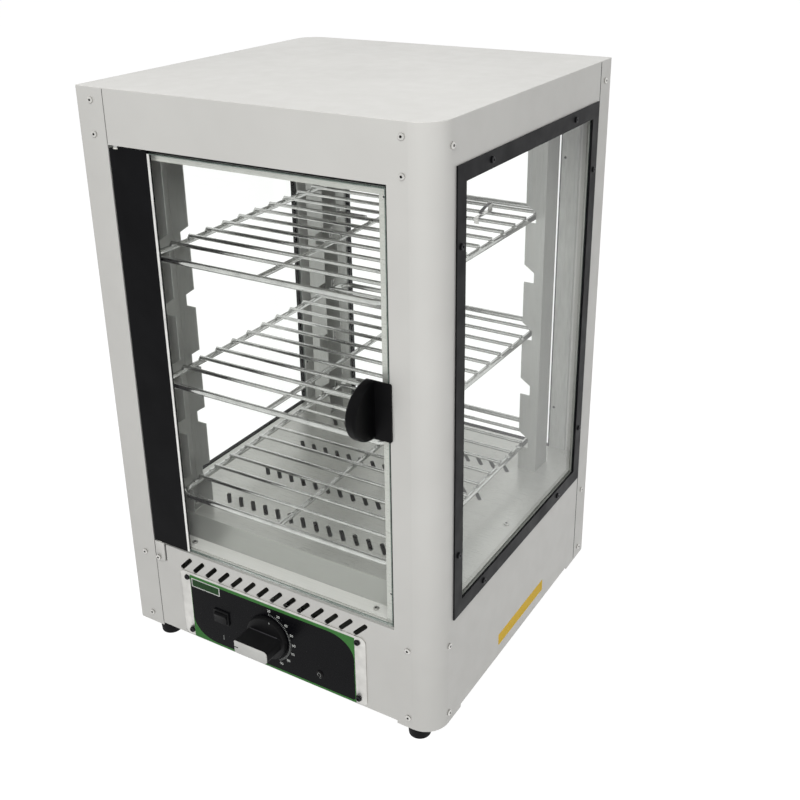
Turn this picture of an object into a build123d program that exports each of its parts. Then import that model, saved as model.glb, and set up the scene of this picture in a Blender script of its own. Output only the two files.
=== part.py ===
# Heated display case: a counter-top cabinet of folded steel sheet with three windows,
# a hinged glass door, three lift-out wire racks and a heater under a slotted floor.
# Millimetres. X is to the right, Y to the back, Z up. The origin is on the floor under
# the middle of the cabinet, and the door is in the front wall, at -Y.
from build123d import *
import os

# Cabinet
width = 380.0
depth = 370.0
body_height = 592.0
foot_height = 18.0
sheet = 1.0
corner_radius = 25.0
fold_radius = 3.0
flange_width = 34.0
column_width = 45.0
panel_height = 110.4
fascia_height = 52.0
return_depth = 24.0
sill_depth = 28.0
lap_width = 20.0
lap_grip = 6.0
seam_gap = 0.9
side_seam = 30.0
relief_height = 3.3
relief_inset = 51.0
relief_ends = (21.0, 2.0)
roof_lip = 13.0
roof_round = 0.6
tray_play = 0.1
touch = 0.1

# Windows
window_margin = 8.0
window_lift = 117.0
window_head = 39.0
frame_band = 15.3
frame_thick = 1.5
opening_lap = 0.85
glass_thick = 4.0
gasket_thick = 0.5
gasket_play = 0.2
gasket_setback = 1.0
retainer_wall = 1.0
retainer_play = 0.5
retainer_lip = 1.5
glass_clear = 0.8
window_screw_insets = (61.0, 68.5)

# Door
door_glass_thick = 5.0
door_gap_low = 2.6
door_gap_top = 3.2
door_gap_side = 1.5
stile_gap = 1.2
stile_width = 46.3
stile_wall = 0.9
stile_back_wall = 1.5
stile_proud = 0.6
stile_edge = 1.5
stile_grip = 31.0
head_rib_gap = 1.0
bead_width = 3.0
bead_thick = 0.5
pivot_inset = 8.5
pin_radius = 1.7
pin_running = 0.05
bush_radius = 2.7
bush_length = 12.0
bush_flange = 3.5
bush_flange_thick = 1.2
pin_shoulder = 3.0
pin_head = 2.0
pin_stud = 2.5
pin_short = 1.0
bracket_thick = 1.2
bracket_width = 12.5
bracket_drop = 23.0
bracket_reach = 10.0
bracket_inset = 1.9
bracket_screw_inset = 5.5
bracket_slot = 1.9
stop_width = 10.0
stop_gap = 0.7
stop_leg = 14.0
magnet_size = (8.0, 6.0, 34.0)

# Door handle
handle_height = 56.0
handle_width = 23.9
handle_lift = 14.1
handle_overhang = 2.5
handle_plate = 1.8
handle_front_gap = 0.4
fin_thick = 11.0
fin_reach = 32.5
fin_offset = 3.6
backplate_width = 12.0
backplate_height = 44.0
backplate_thick = 1.6
handle_screw_spacing = 32.0
handle_screw_length = 15.0
handle_lug_inset = 2.0
fin_round = 3.0

# Racks and the channels that carry them
channel_inset = 38.6
upright_depth = 30.5
upright_leg = 21.9
upright_tab = 18.9
channel_setback = 40.0
notch_count = 5
notch_pitch = 66.8
notch_first = 28.2
notch_depth = 11.5
notch_mouth = 19.7
notch_inner = 11.7
rack_notches = (0, 2, 4)
rack_play = 4.0
rack_front_gap = 15.0
rack_rear_gap = 21.0
rack_shift = 8.0
rack_wire = 3.0
cross_wire = 2.0
weld = 0.4
rack_corner = 16.0
cross_count = 11
cross_pitch = 26.5
spine_wire = 2.5
spine_offset = -4.0
clip_strip = 5.0
clip_thick = 0.8
clip_overhang = 3.0
clip_drop = 6.0
clip_height = 9.0
clip_across = 92.0
clip_gap = 8

# Chamber floor
floor_drop = 0.3
apron_length = 11.0
apron_edge = 39.0
toe_length = 17.0
tray_flange = 15.0
slot_length = 22.0
slot_width = 4.6
slot_slant = 48.0
slot_pitch = 16.7
slot_count = 15
slot_row_count = 4
slot_row_pitch = 69.8
slot_row_centre = 2.3
toe_screw_inset = 31.0
floor_screw_inset = 13.5

# Vents of the lower panel
vent_count = 14
vent_pitch = 16.85
vent_length = 22.2
vent_width = 4.9
vent_slant = 46.0
vent_centre = -2.9
vent_drop = 14.8

# Control panel
plate_width = 234.8
plate_height = 82.4
plate_centre = (-4.6, 45.6)
plate_corner = 6.5
plate_thick = 1.2
plate_screw_margin = (9.8, 7.0)
overlay_width = 208.0
overlay_height = 78.8
overlay_centre = (-4.0, 44.8)
overlay_thick = 0.4
rocker_place = (-67.5, 45.5)
rocker_width = 20.0
rocker_height = 16.0
rocker_rim = 1.8
rocker_frame = 1.8
rocker_depth = 22.0
rocker_wall = 1.0
rocker_corner = 1.0
rocker_tab = (6.0, 8.0, 0.8)
key_play = 0.3
key_half_height = 5.2
key_proud = 2.2
key_pivot_depth = 6.4
key_tilt = 6.5
key_pin = 1.2
hole_play = 0.3
thermostat_place = (-6.5, 44.4)
thermostat_size = (46.0, 34.0, 36.0)
bushing_radius = 5.0
shaft_radius = 3.0
shaft_grip = 14.0
knob_gap = 0.4
knob_skirt = 25.0
knob_skirt_thick = 5.0
knob_draft = 15.0
knob_bar = (41.0, 14.0)
knob_reach = 30.0
knob_nose = 4.0
insert_thick = 1.2
nut_radius = 7.0
nut_thick = 2.5
nut_play = 1.0
lamp_place = (57.0, 22.8)
lamp_radius = 3.0
lamp_rim = 4.0
lamp_proud = 1.4
lamp_depth = 14.0

# Heater and wiring
element_radius = 4.0
element_drop = 40.0
element_pitch = 70.0
element_setback = 75.0
element_tail_setback = 35.0
element_terminal = 14.0
element_bend = 30.0
support_play = 0.1
support_thick = 1.5
support_margin = 20.0
support_setback = 40.0
support_foot = 12.0
pan_lift = 6.0
pan_flange = 16.0
terminal_size = (44.0, 20.0, 16.0)
terminal_inset = (90.0, 75.0)
terminal_bore = 2.0
gland_place = (120.0, 52.0)
gland_radius = 9.0
gland_bore = 4.0
gland_neck = 7.0
gland_proud = 8.0
gland_inside = 12.0
bulb_radius = 3.2
bulb_length = 44.0
bulb_inset = 15.4
bulb_lift = 259.0
bulb_back = 6.0
bulb_clip_thick = 1.0
bulb_clip_width = 10.0
capillary_radius = 1.0
capillary_bend = 6.0
capillary_inset = 8.4
capillary_height = 78.0
capillary_hole = 3.0

# Feet and fasteners
foot_radius = 13.0
foot_base_radius = 11.0
foot_inset = (28.0, 18.0)
foot_recess = 4.0
foot_recess_play = 2.0
foot_edge = 1.0
screw_radius = 1.5
screw_play = 0.1
screw_head = 3.0
screw_head_height = 1.6
socket_radius = 1.3
socket_depth = 1.0
screw_length = 6.5
flange_screw_inset = 19.2
column_screw_margin = 5.4
side_screw_margin = 1.0
seam_screw_inset = 16.7
roof_screw_drop = 12.0
second_screw_drop = 43.5
side_screw_drop = 21.0
pan_screw_lift = 12.2
panel_screw_drop = 18.4

# Levels and faces that the sizes above settle
low = foot_height
top = foot_height + body_height
rim = top - sheet
side = width / 2
front = -depth / 2
back = depth / 2
panel_top = low + panel_height
fascia_low = top - fascia_height
opening_left = -side + flange_width
opening_right = side - column_width
relief_half = min(width, depth) / 2 - relief_inset
window_low = low + window_lift
window_high = top - window_head
window_height = window_high - window_low
window_half = min(width, depth) / 2 - corner_radius - window_margin
retainer_margin = window_margin - retainer_play
retainer_depth = gasket_thick + glass_thick + retainer_wall
side_room = side - sheet - retainer_depth
back_room = back - sheet - retainer_depth
floor_top = window_low + frame_band - floor_drop
ceiling_low = window_high + retainer_margin
tray_inset = 2 * sheet + tray_play
pan_top = low + pan_lift + sheet
screw_line = window_half - frame_band / 2
hole_radius = screw_radius + screw_play
panel_outer = plate_thick + overlay_thick
bay_width = width - 2 * channel_inset
upright_centre = depth / 2 - channel_setback - upright_depth / 2
rack_length = depth - rack_front_gap - rack_rear_gap
rack_centre = (rack_front_gap - rack_rear_gap) / 2
toe_screw = opening_right - toe_screw_inset
toe_y = front + apron_edge - apron_length - toe_length / 2
floor_edge_screw = side_room - floor_screw_inset
slot_rows = [
    slot_row_centre + (row - (slot_row_count - 1) / 2) * slot_row_pitch for row in range(slot_row_count)
]
vent_first = vent_centre - vent_pitch * (vent_count - 1) / 2
vent_z = panel_top - vent_drop
element_height = floor_top - element_drop
element_reach = depth / 2 - element_setback
element_tail = depth / 2 - element_tail_setback
support_half = 1.5 * element_pitch + support_margin
support_place = element_reach - support_setback
terminal_place = (side - terminal_inset[0], back - terminal_inset[1])
bulb_start = -bay_width / 2 + bulb_inset
capillary_column = -bay_width / 2 + capillary_inset
foot_place = (side - foot_inset[0], back - foot_inset[1])
column_screw_inset = corner_radius + column_screw_margin
side_screw_inset = corner_radius + side_screw_margin

# Every cutter runs this far past what it cuts
past = 1.0


def block(x, y, z):
    """Box between (low, high) pairs."""
    spans = (x, y, z)
    size = [high - low_end for low_end, high in spans]
    centre = [(high + low_end) / 2 for low_end, high in spans]
    return Pos(*centre) * Box(*size)


def rod(radius, start, end):
    """Round bar between two points."""
    run = Vector(*end) - Vector(*start)
    return extrude(Plane(origin=start, z_dir=run) * Circle(radius), run.length)


def face_plane(outward):
    """Plane of the front face moved outward: local x is X, local y is Z, normal is -Y."""
    return Plane(origin=(0, front - outward, 0), x_dir=(1, 0, 0), z_dir=(0, -1, 0))


def front_piece(sketch, x, z, start, thick):
    """Sketch centred at x and z, grown outward from start in front of the front face."""
    return extrude(face_plane(start) * Pos(x, z) * sketch, thick)


def outline(inset):
    """Plan of the cabinet: two opposite corners are rolled, the other two are folded."""
    plan = Rectangle(width - 2 * inset, depth - 2 * inset)
    rolled = [corner for corner in plan.vertices() if corner.X * corner.Y < 0]
    plan = fillet(rolled, corner_radius - inset)
    folded = [corner for corner in plan.vertices() if corner.X * corner.Y > 0]
    return fillet(folded, max(fold_radius - inset, sheet / 2))


def shell(inset, low_end, high):
    """Wall of one sheet that follows the plan."""
    ring = outline(inset) - outline(inset + sheet)
    return Pos(0, 0, low_end) * extrude(ring, high - low_end)


def deck(inset, low_end):
    """Flat plate that fills the plan."""
    return Pos(0, 0, low_end) * extrude(outline(inset), sheet)


WALLS = {
    "front": Pos(0, front, 0),
    "right": Pos(side, 0, 0) * Rot(0, 0, 90),
    "rear": Pos(0, back, 0) * Rot(0, 0, 180),
    "left": Pos(-side, 0, 0) * Rot(0, 0, -90),
}


def screw(length=screw_length):
    """Pan head screw along Y, its head outside at -Y and its seat at the origin."""
    out = Plane(origin=(0, 0, 0), x_dir=(1, 0, 0), z_dir=(0, -1, 0))
    head = extrude(out * Circle(screw_head), screw_head_height)
    head = fillet(head.edges().sort_by(Axis.Y)[0], screw_head_height / 2)
    socket = extrude(
        out.offset(screw_head_height - socket_depth) * RegularPolygon(socket_radius, 6),
        socket_depth,
    )
    return head - socket + extrude(out * Circle(screw_radius), -length)


def bore(length=screw_length, outward=10.0):
    """Clearance hole for a screw along Y."""
    return rod(hole_radius, (0, -outward, 0), (0, length + 2 * past, 0))


def window_screw_spots():
    """Places of the eight screws of one window, as (across, height)."""
    middle = (window_low + window_high) / 2
    rise = window_height / 2 - frame_band / 2
    inner_across = window_half - window_screw_insets[0]
    inner_rise = window_height / 2 - window_screw_insets[1]
    spots = [(u * inner_across, middle + v * rise) for u in (-1, 1) for v in (-1, 1)]
    spots += [(u * screw_line, middle + v * inner_rise) for u in (-1, 1) for v in (-1, 1)]
    return spots


def ring(inner_inset, outer_inset, start, end):
    """Ring of a window, measured inward from the outer edge of its black frame."""
    outer = block(
        (-window_half + outer_inset, window_half - outer_inset),
        (start, end),
        (window_low + outer_inset, window_high - outer_inset),
    )
    inner = block(
        (-window_half + inner_inset, window_half - inner_inset),
        (start - past, end + past),
        (window_low + inner_inset, window_high - inner_inset),
    )
    return outer - inner


glass_inset = frame_band / 2 + screw_radius + glass_clear
opening_inset = glass_inset + opening_lap


def window_parts():
    """Frame, gasket, glass, retainer and screws of one window, in the wall's own place."""
    screw_holes = [Pos(u, 0, z) * bore() for u, z in window_screw_spots()]
    frame = ring(frame_band, 0, -frame_thick, 0) - screw_holes
    gasket = ring(frame_band - gasket_setback, opening_inset + gasket_play, 0, sheet + gasket_thick)
    pane_start = sheet + gasket_thick
    pane = block(
        (-window_half + glass_inset, window_half - glass_inset),
        (pane_start, pane_start + glass_thick),
        (window_low + glass_inset, window_high - glass_inset),
    )
    rebate = ring(glass_inset, -retainer_margin, sheet, pane_start + glass_thick)
    lip = ring(
        glass_inset + retainer_lip,
        -retainer_margin,
        pane_start + glass_thick,
        sheet + retainer_depth,
    )
    retainer = rebate + lip - screw_holes
    long_screw = screw(frame_thick + screw_length)
    screws = [Pos(u, -frame_thick, z) * long_screw for u, z in window_screw_spots()]
    return frame, gasket, pane, retainer, screws


def opening_cutter(wall):
    """Hole of one wall behind its window frame."""
    return WALLS[wall] * block(
        (-window_half + opening_inset, window_half - opening_inset),
        (-5 * past, 2 * sheet),
        (window_low + opening_inset, window_high - opening_inset),
    )


roof_screw_z = top - roof_screw_drop
second_screw_z = top - second_screw_drop
pan_screw_z = low + pan_screw_lift
panel_screw_z = panel_top - panel_screw_drop
side_top_z = top - side_screw_drop
corner_heights = (roof_screw_z, second_screw_z, panel_screw_z, pan_screw_z)
side_heights = (side_top_z, panel_screw_z, pan_screw_z)
flange_screw_x = -side + flange_screw_inset
column_screw_x = side - column_screw_inset
side_screw_y = front + side_screw_inset
seam_screw_y = back - seam_screw_inset
case_spots = [("front", flange_screw_x, z) for z in corner_heights]
case_spots += [("front", column_screw_x, z) for z in corner_heights]
case_spots += [("right", side_screw_y, z) for z in side_heights]
case_spots += [("right", seam_screw_y, z) for z in side_heights]
case_spots += [("left", -side_screw_y, z) for z in side_heights]
case_spots += [("left", side_screw_y, z) for z in side_heights]
case_spots += [("rear", u * (side - column_screw_inset), z) for u in (-1, 1) for z in side_heights]
case_holes = [WALLS[wall] * Pos(u, 0, z) * bore() for wall, u, z in case_spots]
window_holes = [
    WALLS[wall] * Pos(u, 0, z) * bore()
    for wall in ("right", "rear", "left")
    for u, z in window_screw_spots()
]


def drilled(piece, more=()):
    """Piece with the clearance holes of every case and window screw that reaches it."""
    return piece - case_holes - window_holes - list(more)


def panel_cutouts(start, end):
    """Holes for the rocker, the thermostat and the lamp, through the lower panel."""
    depth_cut = end - start
    rocker_hole = Rectangle(
        rocker_width - rocker_rim + hole_play,
        rocker_height - rocker_rim + hole_play,
    )
    return [
        front_piece(rocker_hole, rocker_place[0], low + rocker_place[1], start, depth_cut),
        front_piece(
            Circle(bushing_radius + hole_play),
            thermostat_place[0],
            low + thermostat_place[1],
            start,
            depth_cut,
        ),
        front_piece(
            Circle(lamp_radius + hole_play / 2),
            lamp_place[0],
            low + lamp_place[1],
            start,
            depth_cut,
        ),
    ]


def plate_screw_spots():
    """Corners of the control plate where its screws sit, as (x, z)."""
    across = plate_width / 2 - plate_screw_margin[0]
    rise = plate_height / 2 - plate_screw_margin[1]
    return [
        (plate_centre[0] + u * across, low + plate_centre[1] + v * rise)
        for u in (-1, 1)
        for v in (-1, 1)
    ]


plate_holes = [WALLS["front"] * Pos(x, 0, z) * bore() for x, z in plate_screw_spots()]

# Door frame of reference
door_left = opening_left + stile_gap
door_right = opening_right - door_gap_side
door_low = panel_top + door_gap_low
door_high = fascia_low - door_gap_top
glass_front = front - stile_proud + stile_wall
glass_back = glass_front + door_glass_thick
stile_back = glass_back + stile_back_wall
pivot_x = opening_left + pivot_inset
pivot_y = (front - stile_proud + stile_back) / 2
glass_left = door_left + stile_width - stile_grip
stop_front = glass_back + stop_gap
handle_centre = (door_low + door_high) / 2 + handle_lift
sill_screws = [
    Pos(u * toe_screw, toe_y, panel_top + sheet) * Rot(-90, 0, 0) * bore(outward=3 * past)
    for u in (-1, 1)
]
bracket_screw = (opening_left + bracket_screw_inset, panel_top - panel_screw_drop)
bracket_hole = WALLS["front"] * Pos(bracket_screw[0], 0, bracket_screw[1]) * bore()


def front_right_wrap():
    """Fascia, right column, lower panel and right wall, folded from one sheet."""
    wrap = shell(0, low, rim)
    front_span = (front, front + corner_radius + past)
    wrap_front = wrap & block((opening_left + seam_gap, side), front_span, (low, rim))
    wrap_right = wrap & block((side - corner_radius - past, side), (front, back - side_seam), (low, rim))
    wrap = wrap_front + wrap_right
    wrap -= block(
        (opening_left - past, opening_right), (front - past, front + 2 * sheet), (panel_top, fascia_low)
    )
    mouth = (opening_left + seam_gap, opening_right)
    fold = (front, front + return_depth)
    wrap += block(mouth, (front, front + sill_depth), (panel_top - sheet, panel_top))
    wrap += block(mouth, fold, (fascia_low, fascia_low + sheet))
    wrap += block((opening_right, opening_right + sheet), fold, (panel_top - sheet, fascia_low + sheet))
    lap = (front + sheet, front + 2 * sheet)
    lap_span = (opening_left - lap_width, opening_left + lap_grip)
    wrap += block(lap_span, lap, (low + relief_height, panel_top - sheet))
    wrap += block(lap_span, lap, (fascia_low + sheet, rim))
    below_window = (low + relief_height, window_low - retainer_margin - touch)
    above_window = (ceiling_low + touch, rim)
    for heights in (below_window, above_window):
        wrap += block(
            (side - 2 * sheet, side - sheet),
            (back - side_seam - lap_grip, back - side_seam + lap_width),
            heights,
        )
    relief = (low - past, low + relief_height)
    relief_run = (opening_left - relief_ends[0], opening_right + relief_ends[1])
    wrap -= block(relief_run, (front - past, front + 5 * past), relief)
    wrap -= block((side - 5 * past, side + past), (-relief_half, relief_half), relief)
    bracket_right = opening_left + bracket_inset + bracket_width
    wrap -= block(
        (bracket_right, bracket_right + bracket_slot),
        (front - past, front + sheet + past),
        (panel_top - bracket_drop + bracket_slot, panel_top + past),
    )
    slots = [
        front_piece(
            Rot(0, 0, vent_slant) * SlotOverall(vent_length, vent_width),
            vent_first + index * vent_pitch,
            vent_z,
            -2 * sheet,
            4 * sheet,
        )
        for index in range(vent_count)
    ]
    pin_holes = [
        rod(pin_radius + screw_play, (pivot_x, pivot_y, z - 3 * past), (pivot_x, pivot_y, z + 3 * past))
        for z in (panel_top, fascia_low)
    ]
    wrap = wrap - slots - pin_holes - sill_screws - panel_cutouts(-2 * sheet - past, past)
    return drilled(wrap - opening_cutter("right") - plate_holes, [bracket_hole])


def rear_left_wrap():
    """Front flange, left wall, rear wall and the flange of the right wall's seam."""
    wrap = shell(0, low, rim)
    front_span = block((-side, opening_left), (front, front + corner_radius + past), (low, rim))
    left_span = block((-side, -side + corner_radius + past), (front, back), (low, rim))
    rear_span = block((-side, side), (back - side_seam + seam_gap, back), (low, rim))
    wrap = (wrap & front_span) + (wrap & left_span) + (wrap & rear_span)
    relief = (low - past, low + relief_height)
    wrap -= block((-side - past, -side + 5 * past), (-relief_half, relief_half), relief)
    wrap -= block((-relief_half, relief_half), (back - 5 * past, back + past), relief)
    gland_hole = rod(
        gland_neck + screw_play,
        (gland_place[0], back - 5 * past, low + gland_place[1]),
        (gland_place[0], back + 5 * past, low + gland_place[1]),
    )
    return drilled(wrap - opening_cutter("left") - opening_cutter("rear"), [gland_hole])


def roof_panel():
    """Top sheet with a lip that fits inside the walls."""
    plate = deck(0, rim)
    plate = fillet(plate.edges().group_by(Axis.Z)[-1], roof_round)
    return drilled(plate + shell(tray_inset, top - roof_lip - sheet, rim))


def ceiling_panel():
    """Tray that closes the chamber at the top and holds the channels' upper ends."""
    walls = shell(tray_inset, ceiling_low, side_top_z + roof_lip / 2)
    return drilled(deck(tray_inset, ceiling_low) + walls, upright_holes(ceiling_low))


foot_spots = [(u * foot_place[0], v * foot_place[1]) for u in (-1, 1) for v in (-1, 1)]


def base_pan():
    """Bottom sheet with raised edges, which carries the feet and the heater."""
    plate = deck(tray_inset, pan_top - sheet) + shell(tray_inset, pan_top - sheet, pan_top + pan_flange)
    foot_holes = [rod(hole_radius, (x, y, low), (x, y, pan_top + past)) for x, y in foot_spots]
    return drilled(plate, foot_holes + plate_holes + panel_cutouts(-2 * tray_inset, past))


upright_x = bay_width / 2 - upright_leg / 2
upright_spots = [(u * upright_x, v * upright_centre) for u in (-1, 1) for v in (-1, 1)]


def upright_holes(level):
    """Screw holes under or over the four channels at one level."""
    return [rod(hole_radius, (x, y, level - 3 * past), (x, y, level + 5 * past)) for x, y in upright_spots]


def chamber_floor():
    """Slotted heating floor with edges that stand on the walls and an apron to the sill."""
    apron_top = front + apron_edge
    toe_end = apron_top - apron_length - toe_length
    plate = block((-side_room, side_room), (apron_top, back_room), (floor_top - sheet, floor_top))
    for u in (-1, 1):
        edges = sorted((u * side_room, u * (side_room - sheet)))
        plate += block(edges, (apron_top, back_room), (floor_top - tray_flange, floor_top))
    rear_edge = (back_room - sheet, back_room)
    plate += block((-side_room, side_room), rear_edge, (floor_top - tray_flange, floor_top))
    toe_low = panel_top + touch / 2
    toe_high = toe_low + sheet
    section = Plane.YZ * make_face(
        Polyline(
            (apron_top + sheet, floor_top),
            (apron_top, floor_top),
            (apron_top - apron_length, toe_high),
            (toe_end, toe_high),
            (toe_end, toe_low),
            (apron_top - apron_length + sheet / 2, toe_low),
            (apron_top + sheet, floor_top - sheet),
            close=True,
        )
    )
    apron_half = opening_right - sheet / 2
    plate += extrude(section, apron_half, both=True)
    plate = plate & (Pos(0, 0, low) * extrude(outline(sheet + touch), body_height))
    slot = SlotOverall(slot_length, slot_width)
    start = -slot_pitch * (slot_count - 1) / 2
    cuts = [
        Pos(start + column * slot_pitch, row, floor_top - 2 * sheet)
        * extrude(Rot(0, 0, -slot_slant) * slot, 3 * sheet)
        for column in range(slot_count)
        for row in slot_rows
    ]
    below = floor_top - 3 * past
    above = floor_top + 3 * past
    edge_spots = [(u * floor_edge_screw, 0) for u in (-1, 1)]
    edge_holes = [rod(hole_radius, (x, y, below), (x, y, above)) for x, y in edge_spots]
    capillary_way = rod(
        capillary_hole, (capillary_column, bulb_y, below), (capillary_column, bulb_y, above)
    )
    return plate - cuts - upright_holes(floor_top) - edge_holes - sill_screws - capillary_way


upright_back = upright_centre + upright_depth / 2
bulb_y = upright_back + bulb_back
bulb_z = floor_top + bulb_lift


def upright():
    """Channel with notched legs that point into the chamber at +X, around its own middle."""
    high = ceiling_low - touch
    half = upright_depth / 2
    web = -upright_leg / 2
    free = upright_leg / 2
    channel = block((web, web + sheet), (-half, half), (floor_top, high))
    channel += block((web, free), (-half, -half + sheet), (floor_top, high))
    channel += block((web, free), (half - sheet, half), (floor_top, high))
    tab = (web, web + upright_tab)
    channel += block(tab, (-half, half), (floor_top, floor_top + sheet))
    channel += block(tab, (-half, half), (high - sheet, high))
    slope = (notch_mouth - notch_inner) / notch_depth
    mouth = Plane.XZ * make_face(
        Polyline(
            (free + past, 0),
            (free - notch_depth, 0),
            (free - notch_depth, notch_inner),
            (free + past, notch_mouth + slope * past),
            close=True,
        )
    )
    cut = extrude(mouth, upright_depth, both=True)
    heights = [floor_top + notch_first + index * notch_pitch for index in range(notch_count)]
    cuts = [Pos(0, 0, height) * cut for height in heights]
    ends = rod(hole_radius, (0, 0, floor_top - past), (0, 0, high + past))
    return channel - cuts - ends


def rack(notch, shift):
    """Welded wire rack lying in one row of notches."""
    seat = floor_top + notch_first + notch * notch_pitch
    half = bay_width / 2 - upright_leg + notch_depth - rack_play - rack_wire
    centre_z = seat + touch + rack_wire
    plan = Plane(origin=(0, rack_centre + shift, centre_z)) * RectangleRounded(
        2 * half, rack_length - 2 * rack_wire, rack_corner
    )
    path = plan.face().outer_wire()
    start = path.edges()[0]
    profile = Plane(origin=start @ 0, z_dir=start % 0) * Circle(rack_wire)
    frame = sweep(profile, path=path)
    rise = centre_z + rack_wire + cross_wire - weld
    first = rack_centre + shift - cross_pitch * (cross_count - 1) / 2
    for index in range(cross_count):
        y = first + index * cross_pitch
        frame += rod(cross_wire, (-half - weld, y, rise), (half + weld, y, rise))
    reach = rack_length / 2 - rack_wire
    spine_z = rise - cross_wire - spine_wire + weld
    frame += rod(
        spine_wire,
        (spine_offset, rack_centre + shift - reach, spine_z),
        (spine_offset, rack_centre + shift + reach, spine_z),
    )
    return frame


def rack_levels():
    """Heights of the underside of each rack, from the lowest up."""
    return [floor_top + notch_first + notch * notch_pitch + touch for notch in rack_notches]


def rack_clip():
    """Bent strip that hooks over two cross wires of the top rack."""
    first = rack_centre - cross_pitch * (cross_count - 1) / 2
    start = first + clip_gap * cross_pitch - clip_overhang
    end = first + (clip_gap + 1) * cross_pitch + clip_overhang
    level = rack_levels()[-1] + 2 * rack_wire + 2 * cross_wire - weld + touch / 2
    across = (clip_across - clip_strip / 2, clip_across + clip_strip / 2)
    clip = block(across, (start, end), (level, level + clip_thick))
    clip += block(across, (end - clip_thick, end), (level, level + clip_height))
    clip += block(across, (start, start + clip_thick), (level - clip_drop, level + clip_thick))
    return clip


def door_glass():
    """Toughened pane, drilled for the handle."""
    pane = block((glass_left, door_right), (glass_front, glass_back), (door_low, door_high))
    return pane - handle_holes()


def door_stile():
    """Black hinge profile that grips the pane, holds a bush at each end and has a rib on its head."""
    right = door_left + stile_width
    slot = (door_low - past, door_high + past)
    bar = block((door_left, right), (front - stile_proud, stile_back), (door_low, door_high))
    left_edges = bar.edges().filter_by(Axis.Z).sort_by(Axis.X)[:2]
    bar = fillet(left_edges, stile_edge)
    bar -= block((glass_left, right + past), (glass_front, glass_back), slot)
    bar -= rod(bush_radius, (pivot_x, pivot_y, slot[0]), (pivot_x, pivot_y, door_low + bush_length))
    bar -= rod(bush_radius, (pivot_x, pivot_y, door_high - bush_length), (pivot_x, pivot_y, slot[1]))
    return bar + block(
        (pivot_x + bush_flange + head_rib_gap, right),
        (front - stile_proud, stile_back),
        (door_high, fascia_low - head_rib_gap),
    )


def door_glazing_bead():
    """Bright bead on the pane, along the edge of the stile."""
    left = door_left + stile_width
    return block(
        (left, left + bead_width), (glass_front - bead_thick, glass_front), (door_low, door_high)
    )


def pivot_bush(end, direction):
    """Flanged bush in one end of the stile; direction is -1 at the bottom, +1 at the top."""
    bush = rod(bush_radius, (pivot_x, pivot_y, end - direction * bush_length), (pivot_x, pivot_y, end))
    flange_end = end + direction * bush_flange_thick
    bush += rod(bush_flange, (pivot_x, pivot_y, end), (pivot_x, pivot_y, flange_end))
    reach = bush_length + bush_flange_thick + past
    return bush - rod(
        pin_radius + pin_running, (pivot_x, pivot_y, end - reach), (pivot_x, pivot_y, end + reach)
    )


def lower_pivot_pin():
    """Riveted pin that stands on the sill and carries the door."""
    tip = door_low + bush_length - pin_short
    head = panel_top - sheet
    pin = rod(pin_radius, (pivot_x, pivot_y, head), (pivot_x, pivot_y, tip))
    return pin + rod(pin_head, (pivot_x, pivot_y, head - bracket_thick), (pivot_x, pivot_y, head))


def upper_pivot_pin():
    """Shoulder pin that hangs from the fascia's return into the top bush."""
    tip = door_high - bush_length + pin_short
    head = fascia_low + sheet
    collar = door_high + bush_flange_thick + touch
    pin = rod(pin_radius, (pivot_x, pivot_y, tip), (pivot_x, pivot_y, head))
    pin += rod(pin_shoulder, (pivot_x, pivot_y, collar), (pivot_x, pivot_y, fascia_low))
    return pin + rod(pin_head, (pivot_x, pivot_y, head), (pivot_x, pivot_y, head + pin_stud))


def lower_hinge_bracket():
    """Angle on the lower panel whose top leg stiffens the sill under the pivot."""
    left = opening_left + bracket_inset
    right = left + bracket_width
    leg_low = panel_top + touch / 2
    leg_high = leg_low + bracket_thick
    bracket_front = front - bracket_thick
    tab = block((left, right), (bracket_front, front), (panel_top - bracket_drop, leg_high))
    lower_edges = tab.edges().filter_by(Axis.Y).sort_by(Axis.Z)[:2]
    tab = fillet(lower_edges, bracket_width / 3)
    tab += block((left, right), (bracket_front, front + bracket_reach), (leg_low, leg_high))
    pin_way = ((pivot_x, pivot_y, leg_low - past), (pivot_x, pivot_y, leg_high + past))
    tab -= rod(pin_radius + screw_play, *pin_way)
    return tab - bracket_hole


def door_stop():
    """Angle strips behind the pane along its top and its free side."""
    stop_low = panel_top + sheet + 2 * touch
    stop_right = opening_right - touch
    stop_top = fascia_low - touch
    stop_left = door_left + stile_width + sheet
    face = (stop_front, stop_front + sheet)
    leg = (stop_front, stop_front + stop_leg)
    stop = block((stop_left, stop_right), face, (fascia_low - stop_width, stop_top))
    stop += block((opening_right - stop_width, stop_right), face, (stop_low, stop_top))
    stop += block((stop_left, stop_right), leg, (stop_top - sheet, stop_top))
    return stop + block((stop_right - sheet, stop_right), leg, (stop_low, stop_top))


def door_magnet():
    """Magnet block behind the stop, opposite the handle."""
    left = opening_right - stop_width
    start = stop_front + sheet
    half = magnet_size[2] / 2
    return block(
        (left, left + magnet_size[0]),
        (start, start + magnet_size[1]),
        (handle_centre - half, handle_centre + half),
    )


handle_right = opening_right + handle_overhang
handle_left = handle_right - handle_width
fin_left = handle_left - fin_offset
handle_screw_x = fin_left + fin_thick / 2 + sheet / 2
handle_screw_heights = [handle_centre + v * handle_screw_spacing / 2 for v in (-1, 1)]


def handle_holes():
    """Holes for the two handle screws through the pane and the grip."""
    reach = glass_back + backplate_thick
    tip = reach - handle_screw_length
    return [
        rod(hole_radius, (handle_screw_x, tip, z), (handle_screw_x, reach + past, z))
        for z in handle_screw_heights
    ]


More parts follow.
